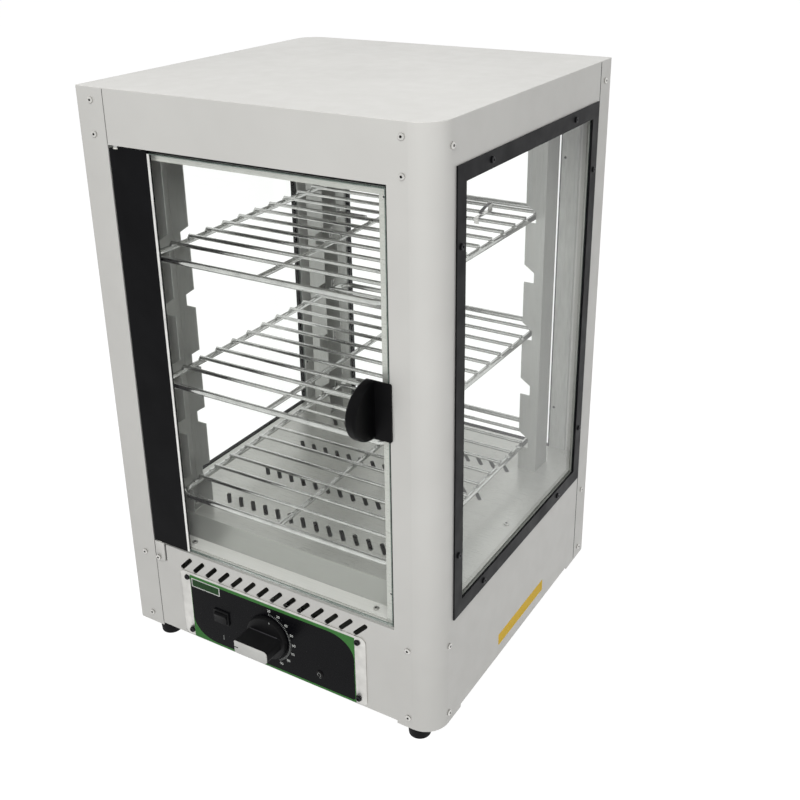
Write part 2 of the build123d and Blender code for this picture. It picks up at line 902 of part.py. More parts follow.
def door_handle():
    """Plate on the pane's free edge with a half-round fin to pull."""
    plate_back = front - handle_front_gap
    plate_front = plate_back - handle_plate
    half = handle_height / 2
    plate = block(
        (handle_left, handle_right),
        (plate_front, plate_back),
        (handle_centre - half, handle_centre + half),
    )
    plate = fillet(plate.edges().filter_by(Axis.Y), handle_plate)
    lug_right = door_right - sheet
    lug_half = half - handle_lug_inset
    plate += block(
        (handle_left, lug_right),
        (plate_back, glass_front),
        (handle_centre - lug_half, handle_centre + lug_half),
    )
    fin_side = Plane(origin=(fin_left, plate_front, handle_centre), x_dir=(0, 1, 0), z_dir=(1, 0, 0))
    fin = extrude(fin_side * Ellipse(fin_reach, half), fin_thick)
    fin -= block(
        (fin_left - past, fin_left + fin_thick + past),
        (plate_back, plate_front + fin_reach + past),
        (handle_centre - half, handle_centre + half),
    )
    rims = [edge for edge in fin.edges() if edge.center().Y < plate_back - past]
    fin = fillet(rims, fin_round)
    return plate + fin - handle_holes()


def handle_backplate():
    """Strip behind the pane under the handle screws' heads."""
    right = opening_right - stop_width - sheet
    half = backplate_height / 2
    strip = block(
        (right - backplate_width, right),
        (glass_back, glass_back + backplate_thick),
        (handle_centre - half, handle_centre + half),
    )
    return strip - handle_holes()


def control_plate():
    """Bright plate behind the printed panel."""
    plate = front_piece(
        RectangleRounded(plate_width, plate_height, plate_corner),
        plate_centre[0],
        low + plate_centre[1],
        0,
        plate_thick,
    )
    return plate - panel_cutouts(-past, panel_outer + past) - plate_holes


def control_overlay():
    """Printed film on the control plate."""
    film = front_piece(
        Rectangle(overlay_width, overlay_height),
        overlay_centre[0],
        low + overlay_centre[1],
        plate_thick,
        overlay_thick,
    )
    return film - panel_cutouts(-past, panel_outer + past)


rocker_x = rocker_place[0]
rocker_z = low + rocker_place[1]
rocker_face = front - panel_outer - rocker_frame
key_pivot_y = rocker_face + key_pivot_depth
key_room = (rocker_width / 2 - rocker_rim, rocker_height / 2 - rocker_rim)
socket_end = key_room[0] + rocker_wall / 2


def rocker_switch_body():
    """Rocker switch housing with its rim, its cavity and two tabs for the wires."""
    body_half = (rocker_width / 2 - rocker_rim / 2, rocker_height / 2 - rocker_rim / 2)
    rim_block = front_piece(
        RectangleRounded(rocker_width, rocker_height, rocker_corner),
        rocker_x,
        rocker_z,
        panel_outer,
        rocker_frame,
    )
    body = block(
        (rocker_x - body_half[0], rocker_x + body_half[0]),
        (front - panel_outer, front - panel_outer + rocker_depth),
        (rocker_z - body_half[1], rocker_z + body_half[1]),
    )
    cavity = block(
        (rocker_x - key_room[0], rocker_x + key_room[0]),
        (rocker_face - past, key_pivot_y + key_half_height),
        (rocker_z - key_room[1], rocker_z + key_room[1]),
    )
    socket_hole = rod(
        key_pin + pin_running,
        (rocker_x - socket_end, key_pivot_y, rocker_z),
        (rocker_x + socket_end, key_pivot_y, rocker_z),
    )
    rear = front - panel_outer + rocker_depth
    housing = rim_block + body - cavity - socket_hole
    tab_half = rocker_tab[0] / 2
    for tab_z in (rocker_z - key_half_height, rocker_z + key_half_height):
        housing += block(
            (rocker_x - tab_half, rocker_x + tab_half),
            (rear, rear + rocker_tab[1]),
            (tab_z - rocker_tab[2] / 2, tab_z + rocker_tab[2] / 2),
        )
    return housing


def rocker_key():
    """Rocker key, drawn level and then tipped about its pins to its rest place."""
    outer = rocker_face - key_proud
    section = Plane.YZ * make_face(
        Polyline(
            (outer, key_half_height),
            (rocker_face - key_proud / 3, 0),
            (outer, -key_half_height),
            (key_pivot_y + key_half_height / 2, -key_half_height),
            (key_pivot_y + key_half_height / 2, key_half_height),
            close=True,
        )
    )
    half = key_room[0] - key_play
    key = Pos(rocker_x, 0, rocker_z) * extrude(section, half, both=True)
    pin_half = socket_end - key_play / 2
    pin_ends = [(rocker_x + u * pin_half, key_pivot_y, rocker_z) for u in (-1, 1)]
    key += rod(key_pin, *pin_ends)
    pivot = Pos(rocker_x, key_pivot_y, rocker_z)
    return pivot * Rot(key_tilt, 0, 0) * pivot.inverse() * key


knob_x = thermostat_place[0]
knob_z = low + thermostat_place[1]
knob_back = panel_outer + knob_gap
knob_hollow = nut_thick + nut_play - knob_gap
shaft_end = knob_back + knob_hollow + shaft_grip


def thermostat_body():
    """Capillary thermostat: its case behind the panel and its threaded bushing."""
    half_x = thermostat_size[0] / 2
    half_z = thermostat_size[2] / 2
    start = front + sheet
    case = block(
        (knob_x - half_x, knob_x + half_x),
        (start, start + thermostat_size[1]),
        (knob_z - half_z, knob_z + half_z),
    )
    case += front_piece(Circle(bushing_radius), knob_x, knob_z, -sheet, sheet + panel_outer + nut_thick)
    inner_end = -sheet - thermostat_size[1] / 2
    bore_length = panel_outer + nut_thick + past - inner_end
    return case - front_piece(Circle(shaft_radius + pin_running), knob_x, knob_z, inner_end, bore_length)


def thermostat_nut():
    """Nut that clamps the thermostat to the panel."""
    nut = front_piece(RegularPolygon(nut_radius, 6), knob_x, knob_z, panel_outer, nut_thick)
    return nut - front_piece(Circle(bushing_radius), knob_x, knob_z, 0, panel_outer + nut_thick + past)


def thermostat_shaft():
    """Shaft with a flat that keys the knob."""
    inner_end = -sheet - thermostat_size[1] / 2 + touch
    shaft = front_piece(Circle(shaft_radius), knob_x, knob_z, inner_end, shaft_end - inner_end)
    flat_height = shaft_radius / 2
    return shaft - front_piece(
        Rectangle(4 * shaft_radius, shaft_radius),
        knob_x,
        knob_z - flat_height - shaft_radius / 2,
        knob_back + knob_hollow,
        shaft_grip + past,
    )


def knob_plan():
    """End view of the knob's bar: square at the pointer, rounded at the other end."""
    bar = Rectangle(*knob_bar)
    return fillet(bar.vertices().sort_by(Axis.X)[-2:], knob_nose)


def thermostat_knob():
    """Round skirt with a bar across it."""
    skirt_face = face_plane(knob_back) * Pos(knob_x, knob_z) * Circle(knob_skirt)
    skirt = extrude(skirt_face, knob_skirt_thick, taper=knob_draft)
    bar_length = knob_reach + panel_outer - knob_back - insert_thick
    knob = skirt + front_piece(knob_plan(), knob_x, knob_z, knob_back, bar_length)
    knob -= front_piece(
        Circle(nut_radius + nut_play), knob_x, knob_z, knob_back - past, knob_hollow + past
    )
    return knob - thermostat_shaft()


def knob_insert():
    """Pale cap on the end of the knob's bar."""
    return front_piece(knob_plan(), knob_x, knob_z, panel_outer + knob_reach - insert_thick, insert_thick)


def indicator_lamp():
    """Heating lamp: a small lens with a rim, and its body behind the panel."""
    x = lamp_place[0]
    z = low + lamp_place[1]
    lamp = front_piece(Circle(lamp_radius), x, z, -lamp_depth, lamp_depth + panel_outer + lamp_proud)
    lens_rim = lamp.edges().filter_by(GeomType.CIRCLE).sort_by(Axis.Y)[0]
    lamp = fillet(lens_rim, lamp_proud / 2)
    return lamp + front_piece(Circle(lamp_rim), x, z, panel_outer, lamp_proud / 2)


def tube(radius, points, bend):
    """Round tube or wire along a path with rounded corners."""
    path = FilletPolyline(*points, radius=bend)
    profile = Plane(origin=path @ 0, z_dir=path % 0) * Circle(radius)
    return sweep(profile, path=path)


def heating_element():
    """Sheathed element bent into three loops, with a terminal at each end."""
    outer = 1.5 * element_pitch
    inner = 0.5 * element_pitch
    level = element_height
    points = [
        (-outer, element_tail, level),
        (-outer, -element_reach, level),
        (-inner, -element_reach, level),
        (-inner, element_reach, level),
        (inner, element_reach, level),
        (inner, -element_reach, level),
        (outer, -element_reach, level),
        (outer, element_tail, level),
    ]
    element = tube(element_radius, points, element_bend)
    for x in (-outer, outer):
        tip = element_tail + element_terminal
        element += rod(element_radius / 3, (x, element_tail - past, level), (x, tip, level))
    return element


def element_support(place, foot_side):
    """Slotted plate that stands on the base pan and carries the element's four legs."""
    half = support_thick / 2
    high = element_height + 2 * element_radius
    plate = block((-support_half, support_half), (place - half, place + half), (pan_top, high))
    foot_span = sorted((place + foot_side * half, place + foot_side * support_foot))
    plate += block((-support_half, support_half), foot_span, (pan_top, pan_top + support_thick))
    slot_half = element_radius + support_play
    reach = half + past
    for index in range(4):
        x = (index - 1.5) * element_pitch
        plate -= rod(slot_half, (x, place - reach, element_height), (x, place + reach, element_height))
        plate -= block(
            (x - slot_half, x + slot_half), (place - reach, place + reach), (element_height, high + past)
        )
    return plate


def terminal_block():
    """Terminal block on the base pan, with a row of wire entries."""
    x, y = terminal_place
    half_x = terminal_size[0] / 2
    half_y = terminal_size[1] / 2
    body = block(
        (x - half_x, x + half_x), (y - half_y, y + half_y), (pan_top, pan_top + terminal_size[2])
    )
    spacing = terminal_size[0] / 4
    for index in range(4):
        entry_x = x + (index - 1.5) * spacing
        middle = pan_top + terminal_size[2] / 2
        body -= rod(
            terminal_bore, (entry_x, y - half_y - past, middle), (entry_x, y + half_y + past, middle)
        )
    return body


def cord_gland():
    """Gland in the rear wall for the supply cord."""
    x = gland_place[0]
    z = low + gland_place[1]
    gland = rod(gland_radius, (x, back, z), (x, back + gland_proud, z))
    gland = fillet(gland.edges().filter_by(GeomType.CIRCLE).sort_by(Axis.Y)[-1], gland_proud / 4)
    gland += rod(gland_neck, (x, back - gland_inside, z), (x, back, z))
    gland += rod(gland_radius, (x, back - sheet - gland_inside / 3, z), (x, back - sheet, z))
    return gland - rod(gland_bore, (x, back - gland_inside - past, z), (x, back + gland_proud + past, z))


def thermostat_bulb():
    """Sensing bulb behind the rear left channel, and its capillary down to the thermostat."""
    bulb = rod(bulb_radius, (bulb_start, bulb_y, bulb_z), (bulb_start + bulb_length, bulb_y, bulb_z))
    start_x = knob_x - thermostat_size[0] / 2
    start_y = front + sheet + thermostat_size[1] * 0.7
    points = [
        (start_x, start_y, capillary_height),
        (capillary_column, start_y, capillary_height),
        (capillary_column, bulb_y, capillary_height),
        (capillary_column, bulb_y, bulb_z),
        (bulb_start + past, bulb_y, bulb_z),
    ]
    return bulb + tube(capillary_radius, points, capillary_bend)


def bulb_clip():
    """Clip that holds the bulb on the rear left channel."""
    start = bulb_start + bulb_clip_thick
    wall = bulb_radius + bulb_clip_thick
    clip = block(
        (start, start + bulb_clip_width / 2), (upright_back, bulb_y + wall), (bulb_z - wall, bulb_z + wall)
    )
    bulb_ends = [(x, bulb_y, bulb_z) for x in (start - past, start + bulb_clip_width)]
    return clip - rod(bulb_radius, *bulb_ends)


def foot_at(x, y):
    """Tapered rubber foot with a recess for its screw."""
    height = low + pan_lift
    foot = Pos(x, y, height / 2) * Cone(foot_base_radius, foot_radius, height)
    foot = fillet(foot.edges().filter_by(GeomType.CIRCLE).sort_by(Axis.Z)[0], foot_edge)
    foot -= rod(screw_head + foot_recess_play, (x, y, -past), (x, y, foot_recess))
    return foot - rod(hole_radius, (x, y, 0), (x, y, height + past))


DOWN = Rot(-90, 0, 0)
UP = Rot(90, 0, 0)


def inner_screws():
    """Screws of the channels, the floor and the feet."""
    screws = [Pos(x, y, floor_top + sheet) * DOWN * screw() for x, y in upright_spots]
    screws += [Pos(x, y, ceiling_low + sheet) * DOWN * screw() for x, y in upright_spots]
    screws += [Pos(u * floor_edge_screw, 0, floor_top) * DOWN * screw() for u in (-1, 1)]
    toe_seat = panel_top + touch / 2 + sheet
    screws += [Pos(u * toe_screw, toe_y, toe_seat) * DOWN * screw() for u in (-1, 1)]
    foot_screw = low + pan_lift + sheet + 2 * screw_radius - foot_recess
    screws += [Pos(x, y, foot_recess) * UP * screw(foot_screw) for x, y in foot_spots]
    return screws


def case_screws():
    """Pan head screws of the cabinet's outside, with the one of the hinge bracket."""
    screws = [WALLS[wall] * Pos(u, 0, z) * screw() for wall, u, z in case_spots]
    seat = Pos(bracket_screw[0], front - bracket_thick, bracket_screw[1])
    return screws + [seat * screw(screw_length + bracket_thick)]


def handle_screws():
    """Screws from behind the pane into the handle."""
    seat = glass_back + backplate_thick
    return [
        Pos(handle_screw_x, seat, z) * Rot(0, 0, 180) * screw(handle_screw_length - touch)
        for z in handle_screw_heights
    ]


def export(name, *solids):
    """Write one piece, or one group of identical pieces, to its own file."""
    pieces = [solid for shape in solids for solid in shape.solids()]
    shape = pieces[0] if len(pieces) == 1 else Compound(pieces)
    export_step(shape, f"parts/{name}.step")
    print(name, len(pieces), round(shape.volume, 1))


os.makedirs("parts", exist_ok=True)

export("front_right_wrap", front_right_wrap())
export("rear_left_wrap", rear_left_wrap())
export("roof_panel", roof_panel())
export("ceiling_panel", ceiling_panel())
export("base_pan", base_pan())
export("chamber_floor", chamber_floor())

frame_piece, gasket_piece, pane_piece, retainer_piece, window_screw_pieces = window_parts()
for wall in ("right", "left", "rear"):
    export(f"{wall}_window_frame", WALLS[wall] * frame_piece)
    export(f"{wall}_window_glass", WALLS[wall] * pane_piece)
    export(f"{wall}_window_retainer", WALLS[wall] * retainer_piece)
walls = [WALLS[wall] for wall in ("right", "left", "rear")]
export("window_gaskets", *[wall * gasket_piece for wall in walls])
export("window_screws", *[wall * piece for wall in walls for piece in window_screw_pieces])

channel = upright()
turned = mirror(channel, about=Plane.YZ)
export("left_front_upright", Pos(-upright_x, -upright_centre, 0) * channel)
export("left_rear_upright", Pos(-upright_x, upright_centre, 0) * channel)
export("right_front_upright", Pos(upright_x, -upright_centre, 0) * turned)
export("right_rear_upright", Pos(upright_x, upright_centre, 0) * turned)

export("bottom_rack", rack(rack_notches[0], rack_shift))
export("middle_rack", rack(rack_notches[1], 0))
export("top_rack", rack(rack_notches[2], 0))
export("rack_clip", rack_clip())

export("door_glass", door_glass())
export("door_stile", door_stile())
export("door_glazing_bead", door_glazing_bead())
export("lower_pivot_bush", pivot_bush(door_low, -1))
export("upper_pivot_bush", pivot_bush(door_high, 1))
export("lower_pivot_pin", lower_pivot_pin())
export("upper_pivot_pin", upper_pivot_pin())
export("lower_hinge_bracket", lower_hinge_bracket())
export("door_stop", door_stop())
export("door_magnet", door_magnet())
export("door_handle", door_handle())
export("handle_backplate", handle_backplate())
export("handle_screws", *handle_screws())

export("control_plate", control_plate())
export("control_overlay", control_overlay())
export(
    "control_plate_screws",
    *[Pos(x, front - plate_thick, z) * screw() for x, z in plate_screw_spots()],
)
export("rocker_switch_body", rocker_switch_body())
export("rocker_key", rocker_key())
export("thermostat_body", thermostat_body())
export("thermostat_nut", thermostat_nut())
export("thermostat_shaft", thermostat_shaft())
export("thermostat_knob", thermostat_knob())
export("knob_insert", knob_insert())
export("indicator_lamp", indicator_lamp())

export("heating_element", heating_element())
export("front_element_support", element_support(-support_place, 1))
export("rear_element_support", element_support(support_place, -1))
export("terminal_block", terminal_block())
export("cord_gland", cord_gland())
export("thermostat_bulb", thermostat_bulb())
export("bulb_clip", bulb_clip())

export("feet", *[foot_at(x, y) for x, y in foot_spots])
export("inner_screws", *inner_screws())
export("case_screws", *case_screws())
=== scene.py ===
"""Looks of the heated display case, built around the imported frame.

Metres, in the part's own frame: X to the right, Y to the back, Z up, origin on the floor
under the middle of the cabinet. Lengths are written in millimetres. MM turns them into
metres where they are written, or inside block_piece, weld_beads and stop_screw. The relief
of materials and the places of lamps and camera are in metres.
"""

import math

import bmesh
import bpy
from mathutils import Matrix, Vector


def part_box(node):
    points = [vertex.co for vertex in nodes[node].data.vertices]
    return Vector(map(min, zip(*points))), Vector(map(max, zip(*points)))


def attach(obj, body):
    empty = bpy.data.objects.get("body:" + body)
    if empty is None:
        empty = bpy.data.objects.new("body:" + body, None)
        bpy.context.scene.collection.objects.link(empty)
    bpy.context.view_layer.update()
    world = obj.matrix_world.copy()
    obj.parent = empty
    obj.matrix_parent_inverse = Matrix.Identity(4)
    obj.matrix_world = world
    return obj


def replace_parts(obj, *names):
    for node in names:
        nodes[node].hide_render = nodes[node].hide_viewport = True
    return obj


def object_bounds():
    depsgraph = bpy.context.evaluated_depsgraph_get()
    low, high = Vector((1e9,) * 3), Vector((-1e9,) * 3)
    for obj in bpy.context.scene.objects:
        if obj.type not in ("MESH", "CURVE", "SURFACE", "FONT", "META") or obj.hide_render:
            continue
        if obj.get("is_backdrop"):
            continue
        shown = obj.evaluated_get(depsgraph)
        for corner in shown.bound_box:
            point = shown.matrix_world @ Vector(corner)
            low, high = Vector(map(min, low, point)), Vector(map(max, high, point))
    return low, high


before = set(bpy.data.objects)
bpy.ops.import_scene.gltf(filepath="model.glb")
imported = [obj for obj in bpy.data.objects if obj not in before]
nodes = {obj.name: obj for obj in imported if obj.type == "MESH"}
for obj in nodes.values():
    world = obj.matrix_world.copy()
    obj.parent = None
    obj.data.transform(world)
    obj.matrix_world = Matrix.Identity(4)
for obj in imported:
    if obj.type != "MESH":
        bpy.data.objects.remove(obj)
cad_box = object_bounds()

MM = 0.001

# In metres: points closer than WELD are one point, and edges shorter than SLIVER go
WELD = 1e-6
SLIVER = 1e-7


# Colours and material building

def srgb(red, green, blue):
    """Linear colour of a display colour given in 0 to 255."""
    values = [value / 255 for value in (red, green, blue)]
    linear = [v / 12.92 if v <= 0.04045 else ((v + 0.055) / 1.055) ** 2.4 for v in values]
    return (*linear, 1.0)


class Finish:
    """One procedural material on a Principled shader, with noise in the part's own frame."""

    def __init__(self, name, colour, rough, metal=0.0, **sockets):
        self.material = bpy.data.materials.new(name)
        self.material.use_nodes = True
        self.tree = self.material.node_tree
        self.shader = self.tree.nodes["Principled BSDF"]
        self.output = self.tree.nodes["Material Output"]
        self.shader.inputs["Base Color"].default_value = colour
        self.shader.inputs["Roughness"].default_value = rough
        self.shader.inputs["Metallic"].default_value = metal
        for socket, value in sockets.items():
            self.shader.inputs[socket.replace("_", " ")].default_value = value

    def node(self, kind, **inputs):
        made = self.tree.nodes.new(kind)
        for name, value in inputs.items():
            made.inputs[name.replace("_", " ")].default_value = value
        return made

    def link(self, source, target):
        self.tree.links.new(source, target)

    def noise(self, scale, stretch=(1, 1, 1), detail=2.0, rough=0.5):
        """Noise in object space; scale is how many features fit in a metre."""
        place = self.node("ShaderNodeTexCoord")
        mapping = self.node("ShaderNodeMapping", Scale=stretch)
        texture = self.node("ShaderNodeTexNoise", Scale=scale, Detail=detail, Roughness=rough)
        self.link(place.outputs["Object"], mapping.inputs["Vector"])
        self.link(mapping.outputs["Vector"], texture.inputs["Vector"])
        return texture.outputs["Fac"]

    def spread(self, source, low, high):
        """Noise stretched to low..high; most of it lies between 0.3 and 0.7."""
        ramp = self.node("ShaderNodeMapRange")
        ramp.inputs["From Min"].default_value = 0.3
        ramp.inputs["From Max"].default_value = 0.7
        ramp.inputs["To Min"].default_value = low
        ramp.inputs["To Max"].default_value = high
        self.link(source, ramp.inputs["Value"])
        return ramp.outputs["Result"]

    def colours(self, source, first, second):
        """Base colour that drifts between two colours with a noise."""
        mix = self.node("ShaderNodeMix")
        mix.data_type = "RGBA"
        colour_inputs = [socket for socket in mix.inputs if socket.type == "RGBA"]
        colour_inputs[0].default_value = first
        colour_inputs[1].default_value = second
        self.link(self.spread(source, 0.0, 1.0), mix.inputs["Factor"])
        result = [socket for socket in mix.outputs if socket.type == "RGBA"][0]
        self.link(result, self.shader.inputs["Base Color"])

    def roughness(self, source, low, high):
        self.link(self.spread(source, low, high), self.shader.inputs["Roughness"])

    def bump(self, source, distance, strength):
        """Relief of the given height in metres."""
        relief = self.node("ShaderNodeBump", Strength=strength, Distance=distance)
        self.link(source, relief.inputs["Height"])
        self.link(relief.outputs["Normal"], self.shader.inputs["Normal"])


def case_sheet():
    """Satin sheet steel of the outer case."""
    finish = Finish("case_sheet", srgb(207, 206, 202), 0.4, 0.25, Specular_IOR_Level=0.5)
    cloud = finish.noise(7, detail=3.0)
    finish.colours(cloud, srgb(210, 209, 205), srgb(203, 202, 198))
    finish.roughness(finish.noise(60, detail=4.0), 0.34, 0.46)
    finish.bump(finish.noise(1600, detail=2.0), 0.00003, 0.35)
    return finish.material


def inner_sheet():
    """Brushed sheet steel inside the chamber."""
    finish = Finish("inner_sheet", srgb(196, 196, 191), 0.32, 0.55)
    grain = finish.noise(40, stretch=(1, 60, 60), detail=4.0, rough=0.6)
    finish.colours(grain, srgb(194, 194, 189), srgb(178, 179, 174))
    finish.roughness(grain, 0.24, 0.4)
    finish.bump(grain, 0.00004, 0.4)
    return finish.material


def bright_sheet(name, colour, metal, rough):
    """Plain sheet steel with a fine brushed grain."""
    finish = Finish(name, srgb(*colour), rough[0], metal)
    grain = finish.noise(40, stretch=(1, 60, 60), detail=4.0, rough=0.6)
    darker = [value * 0.95 for value in colour]
    finish.colours(grain, srgb(*colour), srgb(*darker))
    finish.roughness(grain, *rough)
    finish.bump(grain, 0.00003, 0.3)
    return finish.material


def channel_sheet():
    """Sheet steel of the notched channels, brushed along their length."""
    finish = Finish("channel_sheet", srgb(170, 171, 167), 0.36, 0.55)
    grain = finish.noise(40, stretch=(60, 60, 1), detail=4.0, rough=0.6)
    finish.colours(grain, srgb(178, 179, 175), srgb(160, 161, 157))
    finish.roughness(grain, 0.28, 0.44)
    finish.bump(grain, 0.00004, 0.4)
    return finish.material


def retainer_strip():
    """Grey strips that hold the panes from inside."""
    finish = Finish("retainer_strip", srgb(185, 186, 182), 0.38, 0.45)
    grain = finish.noise(60, stretch=(8, 8, 1), detail=4.0)
    finish.colours(grain, srgb(190, 191, 187), srgb(176, 177, 173))
    finish.roughness(grain, 0.3, 0.46)
    return finish.material


def black_paint(name="black_paint", colour=(14, 14, 16), rough=(0.34, 0.5), gloss=0.08):
    """Black powder coat with a fine orange-peel relief."""
    finish = Finish(name, srgb(*colour), rough[0], Specular_IOR_Level=gloss)
    peel = finish.noise(900, detail=2.0)
    lighter = [value + 8 for value in colour]
    finish.colours(finish.noise(30, detail=3.0), srgb(*colour), srgb(*lighter))
    finish.roughness(finish.noise(45, detail=3.0), *rough)
    finish.bump(peel, 0.00005, 0.5)
    return finish.material


def moulded_plastic(name, colour, rough=(0.32, 0.46), relief=0.00005, gloss=0.12):
    """Moulded plastic with a fine spark-eroded grain."""
    finish = Finish(name, srgb(*colour), rough[0], Specular_IOR_Level=gloss)
    grain = finish.noise(2200, detail=2.0)
    lighter = [value + 5 for value in colour]
    finish.colours(finish.noise(50, detail=3.0), srgb(*colour), srgb(*lighter))
    finish.roughness(finish.noise(70, detail=3.0), *rough)
    finish.bump(grain, relief, 0.5)
    return finish.material


def bright_metal(name, colour, rough, grain_scale=400):
    """Plated or machined metal with faint marks."""
    finish = Finish(name, srgb(*colour), rough[0], 1.0)
    marks = finish.noise(grain_scale, detail=3.0)
    darker = [value * 0.9 for value in colour]
    finish.colours(finish.noise(60, detail=2.0), srgb(*colour), srgb(*darker))
    finish.roughness(marks, *rough)
    return finish.material


def let_lamps_through(finish):
    """Glass casts no solid shadow: rays towards the lamps pass it."""
    path = finish.node("ShaderNodeLightPath")
    clear = finish.node("ShaderNodeBsdfTransparent")
    clear.inputs["Color"].default_value = (0.97, 0.98, 0.97, 1.0)
    mix = finish.node("ShaderNodeMixShader")
    finish.link(path.outputs["Is Shadow Ray"], mix.inputs[0])
    finish.link(finish.shader.outputs["BSDF"], mix.inputs[1])
    finish.link(clear.outputs["BSDF"], mix.inputs[2])
    finish.link(mix.outputs["Shader"], finish.output.inputs["Surface"])


def clear_glass():
    """Toughened float glass."""
    finish = Finish(
        "clear_glass",
        srgb(254, 255, 254),
        0.0,
        0.0,
        Transmission_Weight=1.0,
        IOR=1.2,
        Specular_IOR_Level=0.3,
    )
    finish.bump(finish.noise(9, detail=1.0), 0.00002, 0.1)
    let_lamps_through(finish)
    return finish.material


def glass_rim():
    """Ground edge of the glass, where its green shows."""
    finish = Finish(
        "glass_rim", srgb(118, 132, 126), 0.25, 0.0, Transmission_Weight=0.5, IOR=1.48
    )
    finish.colours(finish.noise(120, detail=2.0), srgb(118, 132, 126), srgb(92, 108, 101))
    finish.bump(finish.noise(2500, detail=2.0), 0.00003, 0.4)
    let_lamps_through(finish)
    return finish.material


def rubber():
    """Matt black rubber."""
    finish = Finish("black_rubber", srgb(14, 14, 15), 0.7, Specular_IOR_Level=0.15)
    grain = finish.noise(1500, detail=3.0)
    finish.colours(finish.noise(80, detail=3.0), srgb(13, 13, 14), srgb(21, 21, 22))
    finish.roughness(grain, 0.6, 0.8)
    finish.bump(grain, 0.00008, 0.5)
    return finish.material


def printed_ink(name, colour, rough=0.3, drift=6):
    """Gloss ink of the printed film."""
    finish = Finish(name, srgb(*colour), rough, 0.0, Specular_IOR_Level=0.06)
    lighter = [min(255, value + drift) for value in colour]
    finish.colours(finish.noise(35, detail=2.0), srgb(*colour), srgb(*lighter))
    finish.roughness(finish.noise(300, detail=2.0), rough - 0.06, rough + 0.06)
    return finish.material


def pale_plastic():
    """Pale insert of the knob."""
    finish = Finish("pale_insert", srgb(214, 214, 210), 0.35)
    finish.colours(finish.noise(90, detail=2.0), srgb(216, 216, 212), srgb(206, 206, 202))
    finish.bump(finish.noise(1800, detail=2.0), 0.00003, 0.3)
    return finish.material


def element_sheath():
    """Heat-tinted sheath of the element."""
    finish = Finish("element_sheath", srgb(96, 88, 80), 0.45, 0.8)
    finish.colours(finish.noise(45, detail=3.0), srgb(104, 96, 88), srgb(70, 62, 60))
    finish.roughness(finish.noise(200, detail=3.0), 0.38, 0.6)
    return finish.material


case_steel = case_sheet()
inner_steel = inner_sheet()
# Sill and apron colours are the chamber's sheet painted lighter and darker: painted light on the
# sill, painted shade on the apron.
sill_painted_light = bright_sheet("sill_face_painted_light", (224, 223, 219), 0.1, (0.3, 0.42))
apron_painted_shade = bright_sheet("apron_face_painted_shade", (158, 159, 154), 0.5, (0.3, 0.42))
channel_steel = channel_sheet()
strip_steel = retainer_strip()
frame_black = black_paint()
stile_black = black_paint("stile_black", (9, 9, 11), (0.28, 0.4), 0.05)
plastic_black = moulded_plastic("black_plastic", (6, 6, 7), gloss=0.08)
rocker_black = moulded_plastic("rocker_black", (18, 18, 19), (0.4, 0.52))
knob_black = moulded_plastic("knob_black", (12, 12, 13), (0.36, 0.5), 0.00007)
# Lighter grey of the fillets at the knob's bar: a painted highlight.
knob_painted_highlight = moulded_plastic("knob_painted_highlight", (58, 58, 61), (0.3, 0.4))
screw_black = bright_metal("black_screw", (46, 46, 48), (0.35, 0.5))
screw_bright = bright_metal("bright_screw", (214, 213, 209), (0.24, 0.36))
# Dark of the screws' sockets: painted shade.
socket_painted_shade = moulded_plastic("screw_socket_painted_shade", (26, 25, 24), (0.5, 0.7))
chrome = bright_metal("chrome_wire", (204, 205, 202), (0.14, 0.24), 250)
bead_bright = bright_metal("bead_bright", (232, 232, 229), (0.2, 0.3), 200)
brass = bright_metal("nut_brass", (190, 160, 96), (0.28, 0.4))
shaft_metal = bright_metal("shaft_steel", (180, 180, 178), (0.2, 0.34))
magnet_metal = bright_metal("magnet", (110, 110, 112), (0.4, 0.55))
plate_bright = bright_metal("plate_metal", (214, 213, 209), (0.3, 0.42), 120)
nylon = moulded_plastic("nylon", (225, 224, 216), (0.45, 0.6), gloss=0.4)
glass = clear_glass()
rim_glass = glass_rim()
rubber_black = rubber()
ink_green = printed_ink("printed_green", (64, 122, 60))
ink_deep_green = printed_ink("printed_deep_green", (38, 70, 38))
ink_black = printed_ink("printed_black", (8, 8, 11), 0.28, 4)
ink_white = printed_ink("printed_white", (214, 216, 212), 0.35)
ink_grey = printed_ink("printed_grey", (150, 152, 150), 0.35)
film_yellow = printed_ink("printed_yellow", (255, 210, 56), 0.4, 0)
lens = moulded_plastic("lamp_lens", (15, 12, 13), (0.2, 0.3), 0.00001, 0.1)
insert_pale = pale_plastic()
sheath = element_sheath()

